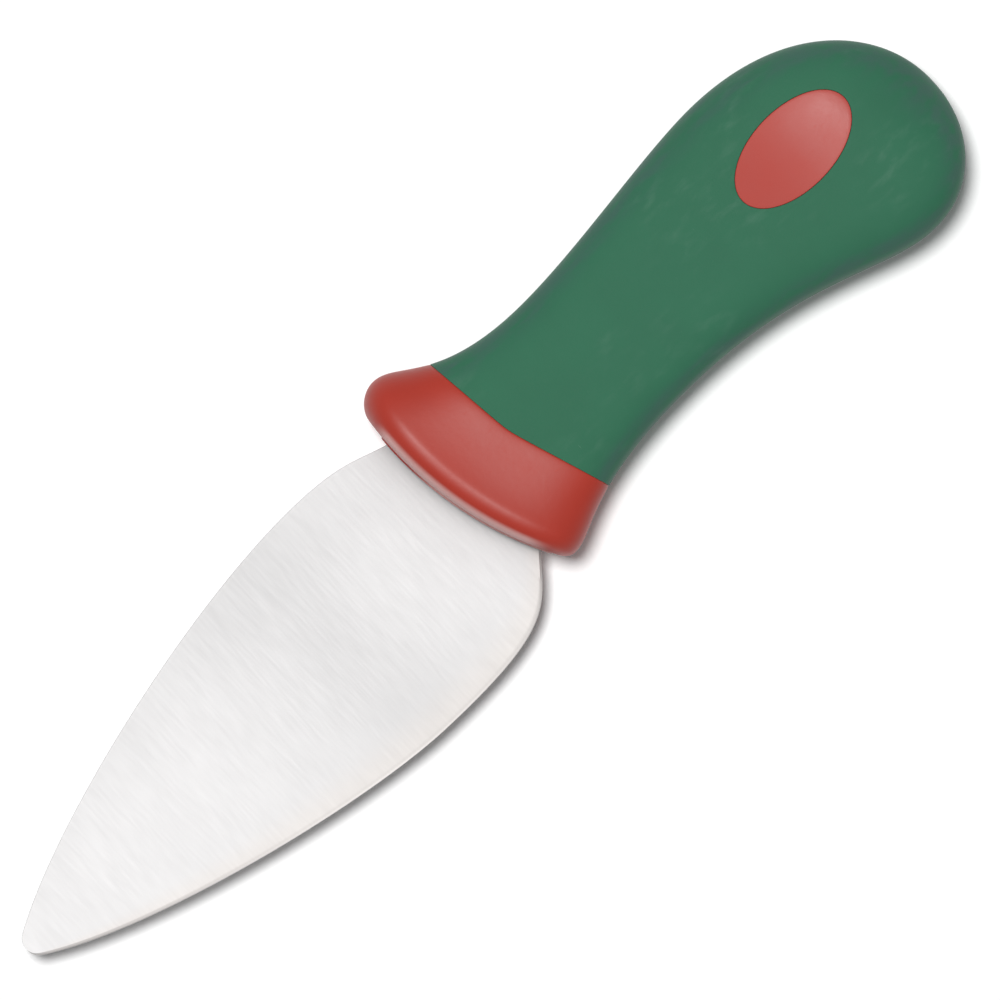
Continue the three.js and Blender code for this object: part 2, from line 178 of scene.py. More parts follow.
class KnifeHandleSizes(bpy.types.PropertyGroup):
    """Sizes of the whole handle, and of its bolster, grip and core"""

    reach: length("Length", "From the face to the butt", HANDLE_LENGTH)
    butt_offset: length("Butt offset", "From the axis to the end of the butt", 4.5)
    horn_spine: length("Spine horn", "From the axis to the bolster's corner on the spine's side", HORN_SPINE)
    horn_spine_at: length("Spine horn place", "Length of that rounded corner", 4.6)
    horn_edge: length("Edge horn", "From the axis to the bolster's corner on the edge's side", HORN_EDGE)
    horn_edge_at: length("Edge horn place", "Length of that rounded corner", 1.4)
    waist_spine: length("Waist on the spine's side", "From the axis to the narrowest place", 15.75)
    waist_spine_at: length("Its place", "From the face to that waist", 31.2)
    waist_edge: length("Waist on the edge's side", "From the axis to the narrowest place", 14.85)
    waist_edge_at: length("Its place", "From the face to that waist", 44.4)
    swell_spine: length("Swell on the spine's side", "From the axis to the widest place", SWELL_SPINE)
    swell_spine_to_butt: length("Its place", "From that swell to the butt", 33.1)
    swell_edge: length("Swell on the edge's side", "From the axis to the widest place", SWELL_EDGE)
    swell_edge_to_butt: length("Its place", "From that swell to the butt", 19.4)
    crest_half: length("Crest", "Half thickness at the bolster's crest", CREST_HALF)
    crest_at: length("Crest place", "From the face to the crest", 3.9)
    face_half: length("Face", "Half thickness where the bolster's front round begins", 5.6)
    waist_half: length("Waist", "Half thickness at the waist", 10.3)
    waist_half_at: length("Waist place", "From the face to the thinnest place", 42)
    swell_half: length("Swell", "Half thickness at the swell", SWELL_HALF)
    swell_half_to_butt: length("Swell place", "From the thickest place to the butt", 17)
    bolster_reach: length("Bolster length", "From its face to its seam, along the axis", 16.28)
    face_radius: length("Face radius", "Radius of the bolster's arched face", 66)
    face_apex: length("Face apex", "From the axis to the apex of the face's arc", -12)
    seam_bend_at: length("Seam bend", "From the axis to the bend of the seam of bolster and grip", -1.2)
    seam_bend_run: length("Seam bend's run", "From that bend to where the seam is nearly straight", 1.6)
    seam_slant_spine: angle("Seam slant, spine", "Slant of the seam on the spine's side of its bend", 6.2)
    seam_slant_edge: angle("Seam slant, edge", "Slant of the seam on the edge's side of its bend", 18.9)
    seam_gap: length("Seam gap", "Hairline between bolster and grip", 0.03)
    bolster_round: length("Bolster's rear round", "Depth of the bolster's rounded edge at the seam", 0.15)
    bolster_round_run: length("Its run", "From the beginning of that round to the seam", 1.8)
    grip_round: length("Grip's front round", "Rounded edge of the grip at the seam", 0.1)
    parting_width: length("Parting line width", "Width of the fine mould line round the handle", 0.26)
    parting_depth: length("Parting line depth", "Depth of that line", 0.05)
    wall: length("Grip wall", "From the outside of the handle to the core", 3)
    core_gap: length("Core gap", "Between the core and the moulded pieces over it", 0.3)
    core_reach: length("Core length", "From the face to the core's end", 107)
    nose_spine: length("Nose on the spine's side", "From the axis to the side of the core's nose", 15.5)
    nose_edge: length("Nose on the edge's side", "From the axis to the side of the core's nose", 19.7)
    nose_half: length("Nose", "Half thickness of the core's nose", 4.6)
    nose_gap: length("Nose gap", "Hairline between the nose and the bolster", 0.1)
    nose_lip: length("Nose lip", "How far the nose stands out of the face", 0.25)
    nose_round: length("Nose round", "Rounded edge of the nose", 0.3)
    slot_gap: length("Slot gap", "Hairline between the blade's root and the nose", 0.04)
    shoulder: length("Shoulder", "From the face to the core's shoulder", 8.2)
    grooves: bpy.props.IntProperty(name="Grooves", description="Grooves round the core", default=3, min=0)
    groove_first: length("First groove", "From the face to the first groove of the core", 29)
    groove_pitch: length("Groove pitch", "From one groove to the next", 14)
    groove_width: length("Groove width", "Width of a groove", 4)
    groove_depth: length("Groove depth", "Depth of a groove", 1.1)


class KnifeBadgeSizes(bpy.types.PropertyGroup):
    """Sizes of the oval badges"""

    long: length("Length", "Length of the oval", 25.25)
    wide: length("Width", "Width of the oval", 14.3)
    turn: angle("Turn", "Turn of the oval against the axis", 3)
    to_butt: length("Place", "From the middle of the badge to the butt", 26.45)
    offset: length("Offset", "From the axis to the middle of the badge", -3.2)
    thick: length("Thickness", "Thickness of the plug", 3.6)
    recess: length("Recess", "Depth of the badge's face below the grip's", 0.04)
    rim: length("Rim round", "Rounded rim of the badge", 0.12)
    gap: length("Gap", "Hairline between badge and grip", 0.04)
    lip: length("Window round", "Rounded edge of the grip's window", 0.1)
    peg_radius: length("Peg radius", "Radius of the pegs below the plug", 1.5)
    peg_reach: length("Peg length", "Length of the pegs", 3.5)
    peg_pitch: length("Peg pitch", "From one peg to the other", 12)


class KnifeFinishes(bpy.types.PropertyGroup):
    """Colours and gloss of the knife"""

    steel: colour("Steel", "Colour of the ground blade", 192, 191, 191)
    warm_steel: colour("Edge steel", "Colour of the blade towards its cutting edge", 197, 191, 186)
    steel_rough: share("Steel roughness", "Roughness of the ground blade", 0.7)
    bolster: colour("Bolster red", "Colour of the bolster", 169, 52, 38)
    bolster_rough: share("Bolster roughness", "Roughness of the bolster", 0.46)
    # Painted reflection: this pale colour stands in for light from the bright blade on the bolster's front
    # and the core's lip.
    rim: colour("Painted_reflection rim", "Colour of the bolster's pale front rim beside the blade", 224, 173, 168)
    core: colour("Core red", "Colour of the hard core", 158, 54, 46)
    core_rough: share("Core roughness", "Roughness of the core", 0.5)
    grip: colour("Grip green", "Colour of the soft grip", 34, 100, 72)
    grip_rough: share("Grip roughness", "Roughness of the soft grip", 0.78)
    dust: colour("Grip scuffs", "Colour of the soft grip's pale scuffs", 118, 152, 136)
    # Partly painted shade: the grip's sides that turn away from above are mixed towards this colour, in
    # streaks that also stand for grime.
    grime_and_side_shade: colour("Grip grime", "Colour of the soft grip's sides, dulled by hands_and_painted_shade", 49, 94, 79)
    badge: colour("Badge red", "Colour of the badges", 176, 64, 54)
    badge_rough: share("Badge roughness", "Roughness of the badges", 0.54)


class KnifeStage(bpy.types.PropertyGroup):
    """Floor, light and camera"""

    key: level("Key light", "Light of the key lamp on a level surface, where 1 shows a colour as it is", 0.9)
    key_tilt: angle("Key tilt", "Lean of the key lamp towards the spine's side", 7.8)
    key_angle: angle("Key size", "Angle that the key lamp fills, seen from the knife", 11)
    key_distance: length("Key distance", "From the middle of the floor to the key lamp", 3000)
    world: level("Surroundings", "Light of the studio around the knife", 0.08)
    gloss: level("Reflected surroundings", "Brightness of the studio where a gloss reflects it", 0.7)
    floor: colour("Floor", "Colour of the floor", 252, 252, 252)
    glow: level("Floor glow", "Brightness that the floor adds where the camera or a gloss sees it", 0.1)


def signed_power(value, power):
    """A power that keeps the sign of its base."""
    return np.sign(value) * np.abs(value) ** power


def bezier(start, first, second, end, steps):
    """Points along a cubic curve."""
    t = np.linspace(0, 1, steps + 1)[:, None]
    start, first, second, end = (np.asarray(point, float) for point in (start, first, second, end))
    return (1 - t) ** 3 * start + 3 * (1 - t) ** 2 * t * first + 3 * (1 - t) * t**2 * second + t**3 * end


def arc_lead(radius, apex, y):
    """How far an arc, square to the axis at its apex, leads the point where it crosses the axis."""
    return np.sqrt(radius**2 - (y - apex) ** 2) - math.sqrt(radius**2 - apex**2)


def section(turns, powers):
    """Shares of the half width and of the half thickness at turns round a section."""
    power = np.where(np.cos(turns) > 0, *powers)
    return signed_power(np.cos(turns), 2 / power), signed_power(np.sin(turns), 2 / power)


def quarter(steps):
    """Sines and cosines of the steps of a quarter round."""
    turn = np.linspace(0, math.pi / 2, steps + 1)
    return list(zip(np.sin(turn), np.cos(turn)))


def spread(start, end, steps):
    """Numbers from start to end, closer together towards both."""
    return start + (end - start) * (1 - np.cos(np.linspace(0, math.pi, steps + 1))) / 2


def side_profile(knots, pulls):
    """Distance from the axis as a function of the station. All knots are level but the first and the last."""
    curves = []
    for i, (leave, pull) in enumerate(pulls):
        start, end = np.array(knots[i]), np.array(knots[i + 1])
        along, across = (end - start) * (1, 0), (end - start) * (0, 1)
        first = start + leave * (across if i == 0 else along)
        second = end - pull * (across if i == len(pulls) - 1 else along)
        curves.append(bezier(start, first, second, end, PROFILE_STEPS))
    path = np.concatenate(curves)
    return lambda station: np.interp(station, path[:, 0], path[:, 1])


class HandleForm:
    """The outside of the handle, over stations and over turns round its section.

    Turn 0 is the middle of the spine's side and a half turn the middle of the edge's side.
    """

    def __init__(self, sizes):
        self.sizes = s = sizes
        butt = s.reach
        self.spine = side_profile((
            (0, s.horn_spine - s.horn_spine_at), (s.horn_spine_at, s.horn_spine),
            (s.waist_spine_at, s.waist_spine), (butt - s.swell_spine_to_butt, s.swell_spine),
            (butt, -s.butt_offset),
        ), SPINE_PULLS)
        self.edge = side_profile((
            (0, s.horn_edge - s.horn_edge_at), (s.horn_edge_at, s.horn_edge),
            (s.waist_edge_at, s.waist_edge), (butt - s.swell_edge_to_butt, s.swell_edge),
            (butt, s.butt_offset),
        ), EDGE_PULLS)
        self.cheek = side_profile((
            (0, s.face_half), (s.crest_at, s.crest_half),
            (s.waist_half_at, s.waist_half), (butt - s.swell_half_to_butt, s.swell_half),
            (butt, 0),
        ), CHEEK_PULLS)
        self.turns = self.even_turns()

    def even_turns(self):
        """Turns that space a ring's points evenly, with a close pair at either side of the parting line."""
        s = self.sizes
        fine = np.linspace(0, 2 * math.pi, 32 * RING_POINTS + 1)
        across, up = section(fine, HANDLE_POWERS)
        half_width = (s.waist_spine + s.waist_edge) / 2
        steps = np.hypot(np.diff(across) * half_width, np.diff(up) * s.waist_half)
        run = np.concatenate(([0], np.cumsum(steps)))
        turns = np.interp(np.arange(RING_POINTS) / RING_POINTS * run[-1], run, fine)
        near = s.parting_width / 2 / s.waist_half
        spine, edge = (math.asin(near ** (power / 2)) for power in HANDLE_POWERS)
        extra = (spine, math.pi - edge, math.pi + edge, 2 * math.pi - spine)
        return np.sort(np.concatenate((turns, extra)))

    def on_parting(self):
        """1 at the two turns that lie on the parting line, and 0 elsewhere."""
        return (np.abs(np.sin(self.turns)) < 1e-9).astype(float)

    def ring(self, station, spine, edge, half, powers):
        """A ring of points between two sides and a half thickness, bowed as the bolster's face is."""
        across, up = section(self.turns, powers)
        y = (edge - spine) / 2 - (edge + spine) / 2 * across
        s = self.sizes
        x = arc_lead(s.face_radius, s.face_apex, y) * (1 - station / s.reach) - station
        return np.stack((x, y, half * up), -1)

    def surface(self, station, inset=0.0):
        """A ring of the handle's outside at one station, or at one for each turn, set in by a wall."""
        place = np.minimum(station, self.sizes.reach)
        sides = (profile(place) - inset for profile in (self.spine, self.edge, self.cheek))
        return self.ring(station, *sides, HANDLE_POWERS)

    def nose(self, station, grow):
        """A ring of the core's nose, grown by a gap."""
        s = self.sizes
        return self.ring(station, s.nose_spine + grow, s.nose_edge + grow, s.nose_half + grow, NOSE_POWERS)

    def seam_lead(self, y):
        """How far the seam, two straight runs with a soft bend between them, leads its place on the axis."""
        s = self.sizes
        spine, edge = math.tan(s.seam_slant_spine), math.tan(s.seam_slant_edge)
        on_axis, here = (
            (edge + spine) / 2 * run + (edge - spine) / 2 * np.hypot(run, s.seam_bend_run)
            for run in (-s.seam_bend_at, y - s.seam_bend_at)
        )
        return on_axis - here

    def seam_stations(self, lead):
        """The station at which each turn meets the seam, moved towards the blade by a lead."""
        s = self.sizes
        low = np.zeros(len(self.turns))
        high = np.full(len(self.turns), s.reach / 2)
        for _ in range(40):
            middle = (low + high) / 2
            point = self.surface(middle)
            seam = lead - s.bolster_reach + self.seam_lead(point[:, 1])
            ahead = point[:, 0] > seam
            low = np.where(ahead, middle, low)
            high = np.where(ahead, high, middle)
        return (low + high) / 2

    def cheek_height(self, plan):
        """Height of the handle's outside over points in plan."""
        s = self.sizes
        x, y = plan[:, 0], plan[:, 1]
        bow = arc_lead(s.face_radius, s.face_apex, y)
        station = (bow - x) / (1 + bow / s.reach)
        spine, edge = self.spine(station), self.edge(station)
        across = ((edge - spine) / 2 - y) / ((edge + spine) / 2)
        power = np.where(across > 0, *HANDLE_POWERS)
        return self.cheek(station) * (1 - np.abs(across) ** power) ** (1 / power)


def closing_strips(start, count):
    """Faces that close a ring whose points mirror each other about its first and its middle one."""
    half = count // 2
    faces = [(start, start + 1, start + count - 1)]
    for i in range(1, half - 1):
        faces.append((start + i, start + i + 1, start + count - i - 1, start + count - i))
    faces.append((start + half - 1, start + half, start + half + 1))
    return faces


def skin(rings, loop=False):
    """Points and faces over rings. A loop joins its last ring to its first; other skins close both ends."""
    rings = np.array(rings)
    total, count = rings.shape[:2]
    faces = []
    for ring in range(total if loop else total - 1):
        here, there = ring * count, (ring + 1) % total * count
        for i in range(count):
            after = (i + 1) % count
            faces.append((here + i, here + after, there + after, there + i))
    if not loop:
        faces += closing_strips(0, count)
        faces += closing_strips((total - 1) * count, count)
    return rings.reshape(-1, 3), faces


def new_piece(name, points, faces):
    """An object from points in the knife's own axes, with its faces turned outwards."""
    mesh = bpy.data.meshes.new(name)
    mesh.from_pydata((np.asarray(points) + DATUM).tolist(), [], faces)
    shape = bmesh.new()
    shape.from_mesh(mesh)
    bmesh.ops.recalc_face_normals(shape, faces=shape.faces)
    shape.to_mesh(mesh)
    shape.free()
    piece = bpy.data.objects.new(name, mesh)
    bpy.context.scene.collection.objects.link(piece)
    return piece


def combine(piece, tool, operation):
    """Cuts a tool out of a piece or joins it on, and deletes the tool."""
    modifier = piece.modifiers.new("combine", "BOOLEAN")
    modifier.operation = operation
    modifier.solver = "EXACT"
    modifier.object = tool
    graph = bpy.context.evaluated_depsgraph_get()
    result = bpy.data.meshes.new_from_object(piece.evaluated_get(graph))
    piece.modifiers.clear()
    before = piece.data
    piece.data = result
    result.name = piece.name
    bpy.data.meshes.remove(before)
    bpy.data.meshes.remove(tool.data)


def prism(name, outline, low, high):
    """A plate between two heights from an outline that mirrors itself about its first and middle points."""
    rings = [np.column_stack((outline, np.full(len(outline), z))) for z in (low, high)]
    return new_piece(name, *skin(rings))


def circle(middle, radius, points):
    """Points round a circle in plan."""
    turn = np.arange(points) / points * 2 * math.pi
    return np.column_stack((middle[0] + radius * np.cos(turn), middle[1] + radius * np.sin(turn)))


def settle(piece, node, material):
    """Smooths a finished piece, gives it its material, and puts it in place of its CAD node."""
    mesh = piece.data
    mesh.materials.clear()
    mesh.materials.append(material)
    mesh.shade_smooth()
    mesh.set_sharp_from_angle(angle=SHARP_ANGLE)
    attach(piece, "root")
    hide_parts(node)


class LeafForm:
    """The leaf of the blade in plan and in thickness."""

    def __init__(self, sizes):
        self.sizes = s = sizes
        self.fall = (s.spine_thickness - s.edge_thickness) / (s.spine_crown + s.edge_crown - s.bevel)
        self.at_axis = s.spine_thickness - self.fall * s.spine_crown
        self.taper = (self.at_axis - self.fall * s.tip_offset - s.tip_thickness) / s.reach

    def half(self, points):
        """Half thickness of the ground leaf at points in plan."""
        return (self.at_axis - self.fall * points[:, 1] - self.taper * points[:, 0]) / 2

    def side(self, handle, side, grow):
        """One side of the leaf from inside the bolster to the tip: -1 is the spine and 1 the edge."""
        s = self.sizes
        if side < 0:
            root, crown, crown_at, pulls = s.root_spine, s.spine_crown, s.spine_crown_at, LEAF_SPINE_PULLS
        else:
            root, crown, crown_at, pulls = s.root_edge, s.edge_crown, s.edge_crown_at, LEAF_EDGE_PULLS
        root_run, root_rise, crown_back, crown_ahead, tip_back = pulls
        face = arc_lead(handle.face_radius, handle.face_apex, side * root)
        mouth = face + handle.nose_lip + handle.core_gap
        run, rise = crown_at - mouth, crown - root
        tip_x = s.reach - s.tip_radius
        round_x = tip_x + s.tip_radius * math.sin(s.tip_angle)
        round_y = s.tip_offset + side * s.tip_radius * math.cos(s.tip_angle)
        ahead = (round_x - crown_at) * crown_ahead
        back = (round_x - crown_at) * tip_back
        inside = ((face - s.root_depth - grow, side * root),)
        heel = bezier(
            (mouth, side * root),
            (mouth + run * root_run, side * (root + rise * root_rise)),
            (crown_at - run * crown_back, side * crown),
            (crown_at, side * crown), ROOT_STEPS)
        sweep = bezier(
            (crown_at, side * crown),
            (crown_at + ahead, side * crown),
            (round_x - back * math.cos(s.tip_angle), round_y + side * back * math.sin(s.tip_angle)),
            (round_x, round_y), LEAF_STEPS)
        blunt = math.asin(s.tip_flat / 2 / s.tip_radius)
        turn = np.linspace(math.pi / 2 - s.tip_angle, blunt, TIP_STEPS + 1)
        tip = np.column_stack((
            tip_x + s.tip_radius * np.cos(turn), s.tip_offset + side * s.tip_radius * np.sin(turn)))
        path = np.concatenate((inside, heel, sweep[1:], tip[1:]))
        return path + np.array((0, side * grow))

    def rings(self, handle, grow=0.0):
        """Rings across the leaf: its rounded spine, ground faces, and bevels on either side of the edge."""
        s = self.sizes
        spine, edge = self.side(handle, -1, grow), self.side(handle, 1, grow)
        width = np.linalg.norm(edge - spine, axis=1)
        across = (edge - spine) / width[:, None]
        corner = np.minimum(s.spine_round, width / 6)
        bevel = np.minimum(s.bevel, width / 3)
        columns = [(spine, np.zeros(len(spine)))]
        for sine, cosine in quarter(ROUND_STEPS):
            place = spine + across * (corner * (1 - cosine))[:, None]
            columns.append((place, self.half(place) - corner * (1 - sine) + grow))
        start, end = columns[-1][0], edge - across * bevel[:, None]
        for part in spread(0, 1, FACE_COLUMNS)[1:]:
            place = start + (end - start) * part
            columns.append((place, self.half(place) + grow))
        columns.append((edge, np.full(len(edge), s.cutting_edge / 2 + grow)))
        columns.append((edge, np.zeros(len(edge))))
        upper = [np.column_stack(column) for column in columns]
        lower = [column * (1, 1, -1) for column in upper[-2:0:-1]]
        return np.stack(upper + lower, 1)


def tang_outline(blade, grow):
    """The tang's strip with its round end in plan, from the middle of that end."""
    half = blade.tang_half + grow
    centre = blade.tang_half - blade.tang_reach
    turn = np.linspace(math.pi, math.pi / 2, 13)
    upper = np.column_stack((centre + half * np.cos(turn), half * np.sin(turn)))
    front = grow - blade.tang_lap
    upper = np.concatenate((upper, ((front, half), (front, 0))))
    return np.concatenate((upper, upper[-2:0:-1] * (1, -1)))


def make_tang(blade, grow):
    """The tang as a plate, grown all round by a gap and cut by its lock holes."""
    thick = blade.sheet / 2 + grow
    tang = prism("tang", tang_outline(blade, grow), -thick, thick)
    place = blade.hole_first
    while place < blade.tang_reach - 1.5 * blade.tang_half:
        hole = circle((-place, 0), blade.hole_radius - grow, HOLE_POINTS)
        combine(tang, prism("hole", hole, -2 * thick, 2 * thick), "DIFFERENCE")
        place += blade.hole_pitch
    return tang


def mark_grind(piece, leaf, handle):
    """Marks how far across the leaf each point lies, and the points of its bevel and spine, which the steel's
    finish makes smoother and paints paler as a painted glint.
    """
    points = np.empty(len(piece.data.vertices) * 3)
    piece.data.vertices.foreach_get("co", points)
    points = points.reshape(-1, 3) - DATUM
    below = leaf.half(points) - np.abs(points[:, 2])
    bevel_and_spine = (points[:, 0] > 0) & (below > 0.01 * MM)
    spine, edge = (np.interp(points[:, 0], *leaf.side(handle, side, 0.0).T) for side in (-1, 1))
    marks = {"polish_and_glint": bevel_and_spine, "across": (points[:, 1] - spine) / (edge - spine)}
    for name, values in marks.items():
        mark = piece.data.attributes.new(name, "FLOAT", "POINT")
        mark.data.foreach_set("value", values.astype(np.float32))


def make_blade(blade, handle):
    """The leaf and its tang in one."""
    leaf = LeafForm(blade)
    piece = new_piece("blade_leaf", *skin(leaf.rings(handle)))
    combine(piece, make_tang(blade, 0.0), "UNION")
    mark_grind(piece, leaf, handle)
    return piece


def make_core(blade, handle):
    """The hard core: a rounded nose with a tight slot for the blade, and a grooved body."""
    form = HandleForm(handle)
    rings = []
    for sine, cosine in quarter(ROUND_STEPS):
        trim = handle.nose_round * (1 - sine)
        rings.append(form.nose(handle.nose_round * (1 - cosine) - handle.nose_lip, -trim))
    rings.append(form.nose(handle.shoulder, 0))
    near = handle.shoulder
    for groove in range(handle.grooves):
        far = handle.groove_first + groove * handle.groove_pitch
        rings += [form.surface(place, handle.wall) for place in spread(near, far, 6)]
        near = far + handle.groove_width
        rings += [form.surface(place, handle.wall + handle.groove_depth) for place in (far, near)]
    rings += [form.surface(place, handle.wall) for place in spread(near, handle.core_reach, 20)]
    piece = new_piece("core_body", *skin(rings))
    slot = new_piece("slot", *skin(LeafForm(blade).rings(handle, handle.slot_gap)))
    combine(piece, slot, "DIFFERENCE")
    combine(piece, make_tang(blade, handle.core_gap), "DIFFERENCE")
    return piece


def make_bolster(handle):
    """The flared collar: its front round, crest and hollow, a rounded rear edge, and the nose's passage."""
    form = HandleForm(handle)
    seam = form.seam_stations(handle.seam_gap)
    mould_line = handle.parting_depth * form.on_parting()
    rings = [form.nose(0.0, handle.nose_gap)]
    end = seam - handle.bolster_round_run
    for part in np.linspace(0, 1, BOLSTER_RINGS + 1) ** 1.6:
        rings.append(form.surface(end * part, mould_line))
    for sine, cosine in quarter(ROUND_STEPS)[1:]:
        inset = handle.bolster_round * (1 - cosine)
        rings.append(form.surface(end + handle.bolster_round_run * sine, np.maximum(inset, mould_line)))
    inside = handle.wall - handle.core_gap
    rings.append(form.surface(seam, inside))
    shoulder = handle.shoulder - handle.core_gap
    rings.append(form.surface(shoulder, inside))
    rings.append(form.nose(shoulder, handle.nose_gap))
    return new_piece("bolster_collar", *skin(rings, loop=True))


def make_grip_sleeve(handle):
    """The soft sleeve, from the end of its inside forward to the seam, and back outside to the butt."""
    form = HandleForm(handle)
    seam = form.seam_stations(0.0)
    mould_line = handle.parting_depth * form.on_parting()
    inside = handle.wall - handle.core_gap
    start, end = handle.core_reach + handle.core_gap, seam
    rings = [form.surface(start + (end - start) * part, inside) for part in spread(0, 1, 24)]
    for sine, cosine in quarter(ROUND_STEPS):
        inset = handle.grip_round * (1 - sine)
        rings.append(form.surface(seam + handle.grip_round * (1 - cosine), np.maximum(inset, mould_line)))
    start, end = seam + handle.grip_round, handle.reach - SLACK * MM
    for part in spread(0, 1, GRIP_RINGS)[1:]:
        line = mould_line * min(1, (1 - part) * 20)
        rings.append(form.surface(start + (end - start) * part, line))
    return new_piece("grip_sleeve", *skin(rings))


class BadgeForm:
    """The oval of the badges in plan, and the heights of their seats and faces."""

    def __init__(self, badge, handle):
        self.badge = badge
        self.form = HandleForm(handle)
        self.middle = np.array((badge.to_butt - handle.reach, badge.offset))
        self.seat = float(self.form.cheek(handle.reach - badge.to_butt)) - badge.thick
        self.along = np.array((math.cos(badge.turn), math.sin(badge.turn)))
        self.sideways = np.array((-self.along[1], self.along[0]))

    def oval(self, grow, scale=1.0):
        """The oval in plan, grown by a gap or scaled about its middle."""
        turn = np.arange(OVAL_POINTS)[:, None] / OVAL_POINTS * 2 * math.pi
        long = (self.badge.long / 2 + grow) * scale
        wide = (self.badge.wide / 2 + grow) * scale
        return self.middle + long * np.cos(turn) * self.along + wide * np.sin(turn) * self.sideways

    def ring(self, cheek, grow, depth, scale=1.0):
        """A ring at a depth below the handle's outside, on the upper cheek for 1 and the lower for -1."""
        plan = self.oval(grow, scale)
        return np.column_stack((plan, cheek * (self.form.cheek_height(plan) - depth)))

    def seat_ring(self, cheek, grow, depth):
        """A level ring at a depth below the seat."""
        plan = self.oval(grow)
        return np.column_stack((plan, np.full(len(plan), cheek * (self.seat - depth))))

    def pegs(self, cheek, grow):
        """The two pegs below the plug, grown by a gap."""
        b = self.badge
        low, high = cheek * (self.seat - b.peg_reach - grow), cheek * (self.seat + b.thick / 3)
        for end in (-0.5, 0.5):
            outline = circle(self.middle + end * b.peg_pitch * self.along, b.peg_radius + grow, HOLE_POINTS)
            yield prism("peg", outline, low, high)

    def window(self, cheek):
        """A tool that cuts the badge's window with a rounded edge."""
        b = self.badge
        rings = [self.seat_ring(cheek, b.gap, b.thick)]
        for sine, cosine in quarter(ROUND_STEPS)[:-1]:
            rings.append(self.ring(cheek, b.gap + b.lip * (1 - cosine), b.lip * (1 - sine)))
        rings.append(self.ring(cheek, b.gap + 3 * b.lip, -b.lip))
        rings.append(self.ring(cheek, b.gap + 3 * b.lip, -6 * b.lip))
        return new_piece("window", *skin(rings))

    def seat_tool(self, cheek, grow):
        """A tool that cuts the badge's seat and peg holes into the core."""
        rings = [self.seat_ring(cheek, grow, grow), self.seat_ring(cheek, grow, -2 * self.badge.thick)]
        tool = new_piece("seat", *skin(rings))
        for peg in self.pegs(cheek, grow):
            combine(tool, peg, "UNION")
        return tool

    def inlay(self, name, cheek):
        """The badge: a plug on two pegs with a rounded rim and a face that follows the handle's."""
        b = self.badge
        rings = [self.seat_ring(cheek, 0, 0)]
        for sine, cosine in quarter(ROUND_STEPS):
            rings.append(self.ring(cheek, -b.rim * (1 - cosine), b.recess + b.rim * (1 - sine)))
        for scale in np.linspace(1, 0.02, OVAL_RINGS + 1)[1:]:
            rings.append(self.ring(cheek, -b.rim, b.recess, scale))
        piece = new_piece(name, *skin(rings))
        for peg in self.pegs(cheek, 0):
            combine(piece, peg, "UNION")
        return piece


class Value:
    """An output of a shader node. Expressions on values add Math nodes to its tree."""

    def __init__(self, nodes, socket):
        self.nodes = nodes
        self.socket = socket

    def math(self, operation, *terms):
        """A Math node over terms."""
        return self.nodes.node("ShaderNodeMath", {"operation": operation}, dict(enumerate(terms)))

    def __add__(self, other):
        return self.math("ADD", self, other)

    def __sub__(self, other):
        return self.math("SUBTRACT", self, other)

    def __rsub__(self, other):
        return self.math("SUBTRACT", other, self)

    def __mul__(self, other):
        return self.math("MULTIPLY", self, other)

    def __truediv__(self, other):
        return self.math("DIVIDE", self, other)

    def __rtruediv__(self, other):
        return self.math("DIVIDE", other, self)

    __radd__ = __add__
    __rmul__ = __mul__


class Nodes:
    """A node tree while nodes are added to it."""

    def __init__(self, tree):
        self.tree = tree

    def node(self, kind, settings=None, sockets=None, output=0):
        """Adds a node: its settings, then the values or links of its sockets. Gives one of its outputs."""
        node = self.tree.nodes.new(kind)
        for name, value in (settings or {}).items():
            setattr(node, name, value)
        for name, value in (sockets or {}).items():
            self.feed(node.inputs[name], value)
        return Value(self, node.outputs[output])

    def feed(self, socket, value):
        """Links a value to a socket, or sets a plain one on it."""
        if isinstance(value, Value):
            self.tree.links.new(value.socket, socket)
        else:
            socket.default_value = value

    def seen_by(self, *kinds):
        """1 for each kind of ray, such as Camera, and 0 for any other."""
        return [self.node("ShaderNodeLightPath", output=f"Is {kind} Ray") for kind in kinds]


